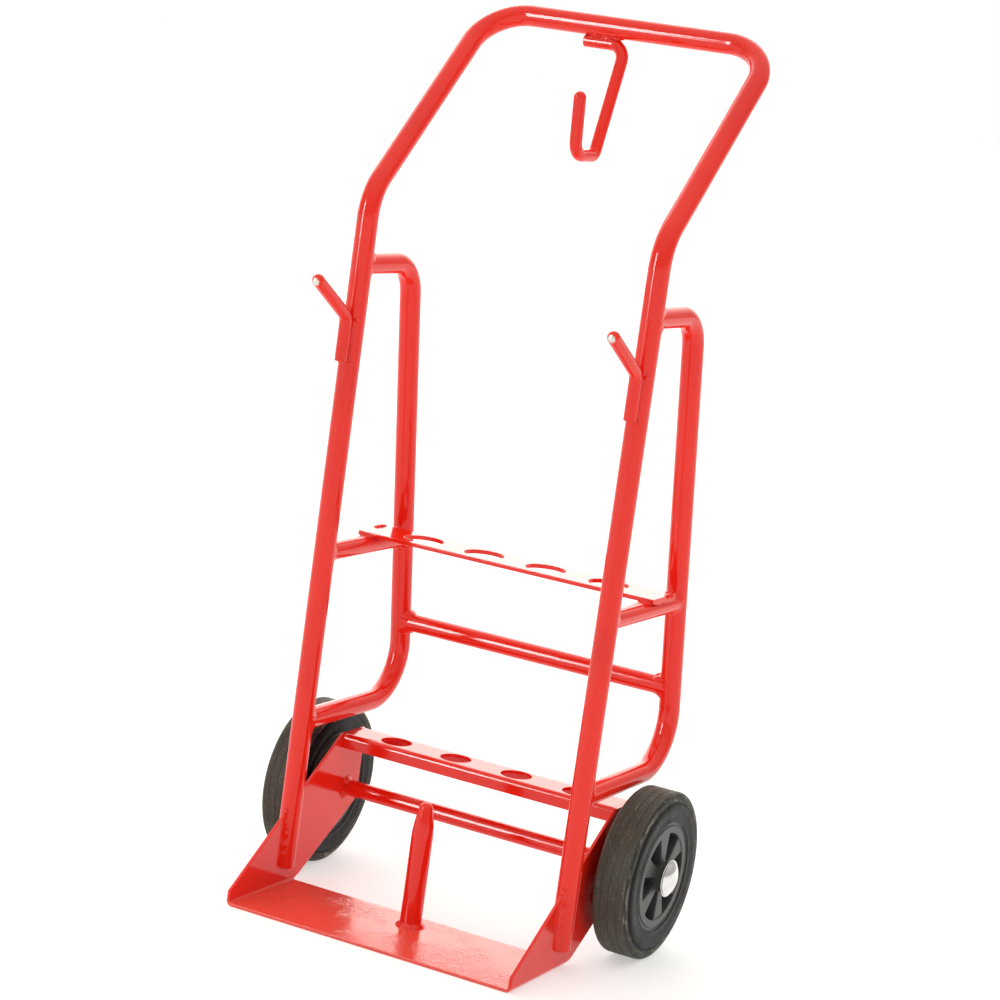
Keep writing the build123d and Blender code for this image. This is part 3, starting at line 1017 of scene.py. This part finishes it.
def weld_strip(bm, rows, seed, closed, lump):
    """A lumpy fillet: each row gives the toe on one part, the crease and the toe on the other."""
    strips = []
    count = len(rows)
    run = 0.0
    last = rows[0][1]
    for i, (toe_a, crease, toe_b) in enumerate(rows):
        run += (crease - last).length
        last = crease
        out = (toe_a + toe_b) / 2 - crease
        size = out.length
        out = out.normalized() if size > MERGE else Z
        swell = wobble(crease, 150.0, seed) + 0.6 * wobble(crease, 420.0, seed + 5)
        ripple = abs(math.sin(run / RIPPLE * math.pi / 2 + 2 * wobble(crease, 60.0, seed)))
        ends = 1.0 if closed else min(1.0, 3.0 * min(i, count - 1 - i) / max(1, count - 1) + 0.25)
        grow = (1.0 + 0.22 * swell) * ends
        a = crease + (toe_a - crease) * grow
        b = crease + (toe_b - crease) * grow
        knee = crease.lerp((a + b) / 2, 0.66 + 0.18 * swell)
        rise = lump * size * ends * (0.09 * ripple + 0.22 * swell)
        row = [curve(a, knee, b, t) + out * rise * math.sin(math.pi * t) for t in spread(0, 1, 7)]
        sink = out * -1.2 * MM
        row = [crease + sink, row[0] + sink] + row + [row[-1] + sink]
        strips.append([bm.verts.new(v) for v in row])
    for a, b in pairs(strips, closed):
        strip(bm, a, b, closed=True)
    if not closed:
        bm.faces.new(strips[0])
        bm.faces.new(strips[-1])


def tube_hit(origin, along, main_at, main_dir, main_radius):
    """Where a line meets a round tube, or the nearest point on the tube if it misses."""
    w = origin - main_at
    u = along - main_dir * along.dot(main_dir)
    v = w - main_dir * w.dot(main_dir)
    a, b, c = u.dot(u), 2 * u.dot(v), v.dot(v) - main_radius ** 2
    inside = b * b - 4 * a * c
    s = (-b + math.sqrt(max(0.0, inside))) / (2 * a)
    point = origin + along * s
    if inside < 0:
        from_axis = point - main_at
        rise = main_dir * from_axis.dot(main_dir)
        point = main_at + rise + (from_axis - rise).normalized() * main_radius
    return point


def saddle_weld(bm, seed, branch_at, branch_dir, branch_radius, main_dir, main_radius, width,
                run_out=None, lump=1.3):
    """Weld round a tube that meets another tube: both centre lines cross at branch_at.

    Its toe lies at width from the crease on the main tube, and at run_out on the branch.
    """
    side = branch_dir.cross(main_dir).normalized()
    other = side.cross(branch_dir).normalized()
    rows = []
    count = 72
    for k in range(count):
        turn = 2 * math.pi * k / count
        out = side * math.cos(turn) + other * math.sin(turn)
        crease, far = (tube_hit(branch_at + out * (branch_radius + away), branch_dir, branch_at,
                                main_dir, main_radius) for away in (0.0, width))
        rows.append((crease + branch_dir * (run_out or width), crease, far))
    weld_strip(bm, rows, seed, True, lump)


def ring_weld(bm, seed, at, along, radius, width, start=0.0, stop=2 * math.pi, lump=1.6):
    """Weld round a bar that stands on a flat face, or over a part of the way round."""
    side = Z if abs(along.dot(Z)) < 0.5 else along.orthogonal().normalized()
    other = along.cross(side)
    closed = start == 0.0
    turns = spread(start, stop, 60)[:-1] if closed else spread(start, stop, 26)
    rows = []
    for turn in turns:
        out = side * math.cos(turn) + other * math.sin(turn)
        crease = at + out * radius
        rows.append((crease + along * width, crease, crease + out * width))
    weld_strip(bm, rows, seed, closed, lump)


def along_crease(start, stop):
    """Points along a straight crease, one for each ring of its weld."""
    count = max(6, math.ceil((stop - start).length / (1.6 * MM)))
    return [start.lerp(stop, k / count) for k in range(count + 1)]


def line_weld(bm, seed, start, stop, up, out, width, lump=1.0):
    """Weld along a straight crease: up and out are the directions of its two toes."""
    rows = [(at + up * width, at, at + out * width) for at in along_crease(start, stop)]
    weld_strip(bm, rows, seed, False, lump)


def groove_weld(bm, seed, start, stop, side, toward_a, radius_a, radius_b, width, lump):
    """Weld in the groove between two round bars that touch along the line start to stop."""
    toes = []
    for toward, radius in ((toward_a, radius_a), (-toward_a, radius_b)):
        angle = width / radius
        toes.append((toward - toward * math.cos(angle) + side * math.sin(angle)) * radius)
    rows = [(at + toes[0], at + side * 0.3 * MM, at + toes[1]) for at in along_crease(start, stop)]
    weld_strip(bm, rows, seed, False, lump)


def blob(bm, seed, at, size, stretch=(1, 1, 1)):
    """A single run-out drop of weld metal."""
    made = bmesh.ops.create_icosphere(bm, subdivisions=3, radius=1.0)
    for v in made["verts"]:
        grow = 1.0 + 0.22 * wobble(v.co, 1.3, seed) + 0.10 * wobble(v.co, 3.1, seed)
        v.co = at + Vector([c * size * grow * s for c, s in zip(v.co, stretch)])


def tube_welds(bm, p, side, seed):
    """Where the braces, the struts and the cross bar meet a tube."""
    tubes = settings().tubes
    r, cross = tubes.radius, tubes.cross_radius
    slope = p.brace_slope()
    for i, z in enumerate((p.brace_low_z, p.brace_top_z)):
        saddle_weld(bm, seed + i, p.leg_at(side, z), Y, r, Z, r, 5.4 * MM, lump=1.9)
    saddle_weld(bm, seed + 2, p.leg_at(side, p.strut_z), Y, cross, Z, r, 4.2 * MM)
    saddle_weld(bm, seed + 3, p.brace_at(side, p.strut_z), -Y, cross, slope, r, 4.2 * MM)
    saddle_weld(bm, seed + 4, p.brace_at(side, p.crossbar.z), -side * X, cross, slope, r,
                5.2 * MM, 8.5 * MM)


def cheek_welds(bm, p, side, seed):
    """Where the axle meets a cheek and where the foot of a leg stands over it."""
    sizes = settings().plates
    cheek_in, cheek_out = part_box("lower_rack")[1].x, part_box("toe_plate")[1].x
    face = Vector((side * cheek_in, p.axle.y, p.axle.z))
    for i, mid in enumerate((0.1, math.pi - 0.25)):
        ring_weld(bm, seed + 5 + i, face, -side * X, half_size("axle").z, 5.5 * MM,
                  mid - 1.0, mid + 1.0)
    toe_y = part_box("toe_plate")[0].y
    rack_low, rack_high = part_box("lower_rack")
    rise = (rack_high.z - sizes.cheek_front) / (rack_low.y - toe_y)
    reach = math.sqrt(settings().tubes.radius ** 2 - (sizes.thickness / 2) ** 2)
    for i, way in enumerate((-1, 1)):
        y = p.leg_y + way * reach
        top = sizes.cheek_front + (y - toe_y) * rise
        for j, (wall, away) in enumerate(((cheek_in, -side), (cheek_out, side))):
            line_weld(bm, seed + 7 + 2 * i + j, Vector((side * wall, y, p.foot_z + 1 * MM)),
                      Vector((side * wall, y, top + 1.5 * MM)),
                      Y * way, Vector((away * 0.95, -way * 0.3, 0)), 5.2 * MM, 1.1)
        blob(bm, seed + 20 + i, Vector((side * p.leg_x, y + way * 0.6 * MM, top + 1.2 * MM)),
             3.2 * MM, (1.25, 0.8, 1.2))


def rack_welds(bm, p, side, seed):
    """Where the upper rack lies on a strut and the lower rack meets a cheek."""
    low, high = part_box("upper_rack")
    x, end = side * p.leg_x, side * high.x
    for i, (y, way) in enumerate(((low.y, -1), (high.y, 1))):
        z = low.z - 0.6 * MM
        line_weld(bm, seed + 12 + i, Vector((x - 8 * MM, y, z)), Vector((x + 8 * MM, y, z)),
                  Z, Y * way, 3.6 * MM, 1.4)
    line_weld(bm, seed + 14, Vector((end, low.y + 3 * MM, low.z)),
              Vector((end, high.y - 3 * MM, low.z)),
              Z + X * side * 0.05, X * side * 0.3 - Z * 0.9, 3.0 * MM, 1.6)
    edge, z = end - side * 1 * MM, high.z - 0.5 * MM
    line_weld(bm, seed + 25, Vector((edge, high.y - 26 * MM, z)),
              Vector((edge, high.y - 2 * MM, z)),
              -X * side + Z * 0.1, Z * 0.1 + X * side * 0.1, 6.0 * MM, 3.2)
    for i in range(5):
        at = Vector((end - side * (1 + i % 2) * MM, high.y - (4 + 4.5 * i) * MM,
                     high.z - 0.8 * MM))
        blob(bm, seed + 30 + i, at, (2.6 + 0.5 * (i % 3)) * MM, (1.3, 1.1, 0.9))
    low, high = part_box("lower_rack")
    wall = side * high.x
    line_weld(bm, seed + 15, Vector((wall, low.y + 3 * MM, high.z)),
              Vector((wall, high.y - 3 * MM, high.z)),
              X * side, -X * side + Z * 0.12, 3.0 * MM, 1.0)


def side_hook_welds(bm, p, side, seed):
    """Where the arm of a side hook lies along a leg, with a few run-out drops."""
    bars, r = settings().bars, settings().tubes.radius
    foot = Vector((side * p.leg_x, p.leg_y - r, p.hook_foot_z))
    seat = foot + Y * bars.seat
    for i, way in enumerate((-1, 1)):
        groove_weld(bm, seed + 16 + i, seat + Z * 2 * MM, seat + Z * (bars.side_arm - 6 * MM),
                    X * way, -Y, bars.hook_radius, r, 5.0 * MM, 0.8)
    flat = (1.5, 0.8, 0.9)
    blob(bm, seed + 22, foot + Vector((3, -0.6, -1.5)) * MM, 3.6 * MM, flat)
    blob(bm, seed + 23, foot + Vector((-3, -0.4, -1)) * MM, 3.0 * MM, flat)
    blob(bm, seed + 24, foot + Z * bars.side_arm + Vector((8, 2.6, -3)) * MM, 2.7 * MM,
         (1.2, 1.0, 1.0))


class HANDTRUCK_OT_welds(Operator):
    """Lay the weld beads that join the frame"""
    bl_idname = "hand_truck.welds"
    bl_label = "Welds"

    def execute(self, context):
        bars, r, p = settings().bars, settings().tubes.radius, Places()
        bm = bmesh.new()
        for side in SIDES.values():
            for lay in (tube_welds, cheek_welds, rack_welds, side_hook_welds):
                lay(bm, p, side, 10.0 * side)
        foot = Vector((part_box("top_hook")[0].x, p.handle_y, p.handle_z - r + bars.seat))
        for i, way in enumerate((-1, 1)):
            groove_weld(bm, 40.0 + i, foot + X * 1 * MM, foot + X * 50 * MM,
                        Y * way, -Z, bars.hook_radius, r, 8.5 * MM, 1.3)
        foot = centre("peg")
        foot.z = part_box("peg")[0].z
        ring_weld(bm, 50.0, foot, Z, half_size("peg").x, 4.6 * MM, lump=2.2)
        add_painted("weld_beads", bm)
        return {"FINISHED"}


# ---- wheels

# Side of a tyre, in millimetres: the lip out from the rim's face, the wall in from the widest
# point, and both up from the rim's seat.
TYRE_LIP = ((-0.6, -0.5), (0.5, 0.1), (0.9, 1.1), (0.8, 2.4))
TYRE_WALL = ((1.0, 4.5), (0.9, 7), (0.4, 11), (0, 15), (0.1, 18), (0.6, 20.4), (1.3, 21.6),
             (1.9, 21.9), (1.9, 22.4), (1.5, 22.7), (1.5, 23.5), (2.1, 23.8), (2.1, 24.4))
# Tread grooves, in millimetres from its middle: three wide ones and the fine ones between.
WIDE_GROOVES = (10.0, 0.0, -10.0)
FINE_GROOVES = (14.8, 12.4, 7.2, 4.4, 2.2, -2.6, -5.2, -7.6, -13.0)


class HANDTRUCK_OT_tyres(Operator):
    """Build the solid tyres with grooved treads"""
    bl_idname = "hand_truck.tyres"
    bl_label = "Tyres"

    def execute(self, context):
        sizes = settings().wheels
        rubber = tyre_rubber(centre("axle"))
        for name, side in SIDES.items():
            size, seat = half_size(f"tyre_{name}"), half_size(f"rim_{name}").z
            half, tread = size.x, size.z
            right = [(sizes.rim_width / 2 + a * MM, seat + b * MM) for a, b in TYRE_LIP]
            right += [(half - a * MM, seat + b * MM) for a, b in TYRE_WALL]
            start, stop = Vector(right[-1]), Vector((sizes.tread_flat / 2, tread))
            bow = Vector((half - 1.7 * MM, tread - 1.0 * MM))
            right += [tuple(curve(start, bow, stop, t)) for t in spread(0, 1, 9)[1:]]
            grooves = [(at, 0.5, 0.7) for at in WIDE_GROOVES]
            grooves += [(at, 0.28, 0.3) for at in FINE_GROOVES]
            run = []
            for groove in sorted(grooves, reverse=True):
                at, wide, deep = (c * MM for c in groove)
                run += [(at + wide + 0.25 * MM, tread), (at + wide, tread - 0.2 * MM),
                        (at + wide * 0.8, tread - deep), (at - wide * 0.8, tread - deep),
                        (at - wide, tread - 0.2 * MM), (at - wide - 0.25 * MM, tread)]
            profile = right + run + [(-a, b) for a, b in reversed(right)]
            profile = [(side * a, b) for a, b in profile]
            bm = bmesh.new()
            lathe(bm, centre(f"tyre_{name}"), X, profile, sizes.around, closed=True)
            add_piece(f"solid_tyre_{name}", bm, rubber, f"wheel_{name}",
                      replaces=[f"tyre_{name}"])
        return {"FINISHED"}


def add_spoke(bm, sizes, place):
    """One tapered spoke with rounded edges and flared ends, moved to its place in the wheel."""
    r_in, r_out = sizes.hub_radius - 2 * MM, sizes.rim_recess + 2 * MM
    deep = sizes.spoke_depth / 2
    spoke = bmesh.new()
    rows = []
    for share in spread(0, 1, 6):
        r = r_in + (r_out - r_in) * share
        w = (sizes.spoke_in + (sizes.spoke_out - sizes.spoke_in) * share) / 2
        w += 2.2 * MM * (max(0.0, share - 0.72) / 0.28) ** 2
        w += 1.6 * MM * (max(0.0, 0.25 - share) / 0.25) ** 2
        rows.append([spoke.verts.new(v)
                     for v in ((-deep, -w, r), (-deep, w, r), (deep, w, r), (deep, -w, r))])
    for a, b in pairs(rows):
        strip(spoke, a, b, closed=True)
    spoke.faces.new(rows[0])
    spoke.faces.new(rows[-1][::-1])
    soften_edges(spoke, 1.3 * MM)
    spoke.transform(place)
    mesh = bpy.data.meshes.new("spoke")
    spoke.to_mesh(mesh)
    spoke.free()
    bm.from_mesh(mesh)
    bpy.data.meshes.remove(mesh)


class HANDTRUCK_OT_rims(Operator):
    """Build the moulded rims with their tapered spokes"""
    bl_idname = "hand_truck.rims"
    bl_label = "Rims"

    def execute(self, context):
        sizes = settings().wheels
        half, web, recess = sizes.rim_width / 2, sizes.web / 2, sizes.rim_recess
        bore, flange, deep = sizes.hub_bore, sizes.flange, 1.5 * MM
        for name, side in SIDES.items():
            seat = half_size(f"rim_{name}").z
            middle = centre(f"tyre_{name}")
            bm = bmesh.new()
            # ring: satin face with a thin line beside the tyre and a drafted pocket wall
            ring = rounded([(half, recess + 0.2 * MM), (half, seat - 4.6 * MM),
                            (half - 1.5 * MM, seat - 4.0 * MM), (half - 1.5 * MM, seat - 1.6 * MM),
                            (half - 0.2 * MM, seat - 1.3 * MM), (half - 0.2 * MM, seat)], 0.5 * MM)
            ring += [(-a, b) for a, b in reversed(ring)]
            ring += [(-web, recess - 0.8 * MM), (web, recess - 0.8 * MM)]
            lathe(bm, middle, X, rounded(ring, 0.9 * MM, closed=True), sizes.around, closed=True)
            r_in, r_out = sizes.hub_radius - 2 * MM, recess + 2 * MM
            disc = [(-web, r_in), (-web, r_out), (web, r_out), (web, r_in)]
            lathe(bm, middle, X, disc, sizes.around, closed=True)
            a, b = (corner.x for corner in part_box(f"rim_{name}"))
            hub = [(a, flange), (a, sizes.hub_radius), (b, sizes.hub_radius), (b, flange),
                   (b - deep, flange), (b - deep, bore), (a + deep, bore), (a + deep, flange)]
            lathe(bm, Vector((0, middle.y, middle.z)), X, rounded(hub, 0.8 * MM, closed=True), 72,
                  closed=True)
            for k in range(sizes.spoke_count):
                turn = sizes.spoke_start + 2 * math.pi * k / sizes.spoke_count
                add_spoke(bm, sizes, Matrix.Translation(middle) @ Matrix.Rotation(turn, 4, "X"))
            add_piece(f"moulded_rim_{name}", bm, shared("rim_plastic", rim_plastic),
                      f"wheel_{name}", replaces=[f"rim_{name}"])
        return {"FINISHED"}


class HANDTRUCK_OT_hub_caps(Operator):
    """Build the domed hub caps with their thin lips"""
    bl_idname = "hand_truck.hub_caps"
    bl_label = "Hub caps"

    def execute(self, context):
        chrome = plain_metal("chrome_cap", settings().finishes.chrome, 0.10, 0.004 * MM)
        for name, side in SIDES.items():
            half, foot = half_size(f"hub_cap_{name}"), centre(f"hub_cap_{name}")
            foot.x -= side * half.x
            lip, height = half.z, 2 * half.x
            skirt, neck = lip - 1.0 * MM, 2.1 * MM
            profile = rounded([(0.0, skirt - 2 * MM), (0.0, lip), (0.9 * MM, lip),
                               (1.0 * MM, skirt), (neck, skirt)], 0.35 * MM)
            rise = height - neck
            sphere = (skirt ** 2 + rise ** 2) / (2 * rise)
            reach = 0.93 * math.asin(skirt / sphere)
            for t in spread(1, 0, 16)[1:]:
                profile.append((height - sphere * (1 - math.cos(reach * t)),
                                sphere * math.sin(reach * t)))
            bm = bmesh.new()
            lathe(bm, foot, X * side, profile, 96)
            add_piece(f"domed_cap_{name}", bm, chrome, replaces=[f"hub_cap_{name}"])
        return {"FINISHED"}


class HANDTRUCK_OT_hardware(Operator):
    """Give the washers, spring rings and bushes their finishes"""
    bl_idname = "hand_truck.hardware"
    bl_label = "Hardware"

    def execute(self, context):
        zinc = plain_metal("zinc_steel", settings().finishes.zinc, 0.30, 0.01 * MM)
        nylon = bush_nylon()
        for name in SIDES:
            for node in ("inner_washer", "outer_washer", "retaining_ring"):
                refinish(f"{node}_{name}", zinc)
            for node in ("inner_bush", "outer_bush"):
                refinish(f"{node}_{name}", nylon)
        return {"FINISHED"}


# ---- stage

class HANDTRUCK_OT_stage(Operator):
    """Set the floor, the white surround, the lights and the camera"""
    bl_idname = "hand_truck.stage"
    bl_label = "Stage"

    def execute(self, context):
        look = settings().stage
        scene = context.scene
        scene.view_settings.view_transform = "Standard"

        world = bpy.data.worlds.new("white_surround")
        scene.world = world
        world.use_nodes = True
        tree = world.node_tree
        sky = Wire(tree).node("ShaderNodeTexCoord")
        facing = sky.node("ShaderNodeVectorMath", {"operation": "DOT_PRODUCT"}, output=1,
                          i0=sky, i1=tuple(BACKDROP_WAY.normalized()))
        lit = look.surround + look.backdrop * facing.fade(*BACKDROP_FADE)
        lit = lit + look.ceiling * sky.axis("Z").fade(*CEILING_FADE)
        seen = sky.node("ShaderNodeLightPath")
        strength = lit * (1.0 - seen) + seen
        tint = seen.mix(tuple(look.warmth), (1, 1, 1))
        tree.links.new(strength.socket, tree.nodes["Background"].inputs["Strength"])
        tree.links.new(tint.socket, tree.nodes["Background"].inputs["Color"])

        half = look.floor_half
        bm = bmesh.new()
        bm.faces.new([bm.verts.new((half * x, half * y, 0))
                      for x, y in ((-1, -1), (1, -1), (1, 1), (-1, 1))])
        mesh = bpy.data.meshes.new("floor")
        bm.to_mesh(mesh)
        bm.free()
        floor = bpy.data.objects.new("floor", mesh)
        scene.collection.objects.link(floor)
        finish = Finish("pale_floor", Roughness=0.8, Emission_Strength=look.floor_glow)
        finish.shader.inputs["Emission Color"].default_value = (1, 1, 1, 1)
        grain = finish.at.noise(3.0, 3.0)
        tone = tuple(look.floor)
        finish.feed(Base_Color=grain.mix(tone, tuple(FLOOR_GRAIN * c for c in tone)))
        mesh.materials.append(finish.material)

        # a tall window light, seen only in reflections
        light = bpy.data.lights.new("window_box", "AREA")
        light.shape = "RECTANGLE"
        light.size, light.size_y = look.window_width, look.window_height
        light.energy = look.window_power
        window = bpy.data.objects.new("window_box", light)
        at, aim = Vector(look.window_at), Vector(look.window_aim)
        window.location = at
        window.rotation_euler = (aim - at).to_track_quat("-Z", "Y").to_euler()
        window.visible_camera = False
        window.visible_diffuse = False
        scene.collection.objects.link(window)

        az, el = look.azimuth, look.elevation
        back = Vector((math.sin(az) * math.cos(el), -math.cos(az) * math.cos(el), math.sin(el)))
        right = Vector((math.cos(az), math.sin(az), 0))
        up = back.cross(right)
        turn = look.roll
        right, up = (right * math.cos(turn) + up * math.sin(turn),
                     up * math.cos(turn) - right * math.sin(turn))
        lens = bpy.data.cameras.new("camera")
        lens.lens = look.lens
        lens.sensor_width = SENSOR_WIDTH
        lens.clip_end = VIEW_DEPTH
        camera = bpy.data.objects.new("camera", lens)
        at = Vector(look.target) + back * look.distance
        camera.matrix_world = Matrix.Translation(at) @ Matrix(
            (right, up, back)).transposed().to_4x4()
        scene.collection.objects.link(camera)
        scene.camera = camera
        return {"FINISHED"}


# ---- the sidebar and the run

OPERATORS = (
    HANDTRUCK_OT_main_tube,
    HANDTRUCK_OT_braces,
    HANDTRUCK_OT_toe_plate,
    HANDTRUCK_OT_racks,
    HANDTRUCK_OT_peg,
    HANDTRUCK_OT_hooks,
    HANDTRUCK_OT_axle,
    HANDTRUCK_OT_welds,
    HANDTRUCK_OT_tyres,
    HANDTRUCK_OT_rims,
    HANDTRUCK_OT_hub_caps,
    HANDTRUCK_OT_hardware,
    HANDTRUCK_OT_stage,
)


class HANDTRUCK_PT_sidebar(Panel):
    """Lists the steps that build the hand truck"""
    bl_idname = "HANDTRUCK_PT_sidebar"
    bl_label = "Hand Truck"
    bl_space_type = "VIEW_3D"
    bl_region_type = "UI"
    bl_category = "Hand Truck"

    def draw(self, context):
        for operator in OPERATORS:
            self.layout.operator(operator.bl_idname)


CLASSES = (TubeSizes, PlateSizes, BarSizes, WheelSizes, Finishes, StageLook, HandTruck,
           *OPERATORS, HANDTRUCK_PT_sidebar)


def register():
    for cls in CLASSES:
        bpy.utils.register_class(cls)
    bpy.types.Scene.hand_truck = PointerProperty(type=HandTruck)


def unregister():
    del bpy.types.Scene.hand_truck
    for cls in reversed(CLASSES):
        bpy.utils.unregister_class(cls)


def main():
    register()
    for operator in OPERATORS:
        group, step = operator.bl_idname.split(".")
        getattr(getattr(bpy.ops, group), step)()


if __name__ == "__main__":
    main()
